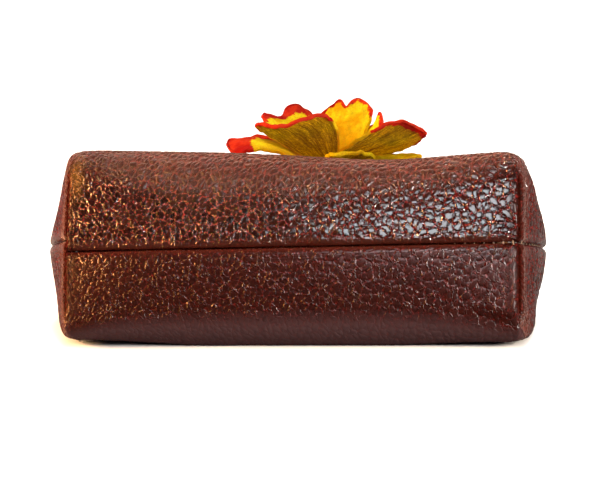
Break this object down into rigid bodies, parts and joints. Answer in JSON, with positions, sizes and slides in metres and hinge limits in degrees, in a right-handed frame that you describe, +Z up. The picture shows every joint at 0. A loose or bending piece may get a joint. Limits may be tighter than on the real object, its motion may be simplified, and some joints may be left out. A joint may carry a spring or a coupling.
{
  "type": "kiss lock coin purse",
  "caption": "Boxy pebbled-leather coin purse with a metal kiss lock mouth, lying on its back with a layered leather flower on its upper face; holds coins and small things.",
  "frame": {"origin": "middle of the footprint, on the surface that the purse lies on", "axes": "+X along the base seam to the right, +Y from the base towards the metal mouth, +Z up, out through the face with the flower"},
  "size_m": [0.1506, 0.1166, 0.0656],
  "materials": {
    "pouch_leather": "glossy pebbled grain, red-brown valleys",
    "petal_leather": "yellow suede with red painted edges",
    "brass": "antique satin"
  },
  "bodies": {
    "root": {"front_panel": "pouch_leather", "back_panel": "pouch_leather", "blossom_lower": "petal_leather", "blossom_upper": "petal_leather", "flower_stud": "brass", "frame_front": "brass", "frame_back": "brass", "hinge_rivet_left": "brass", "hinge_rivet_right": "brass"}
  },
  "joints": []
}
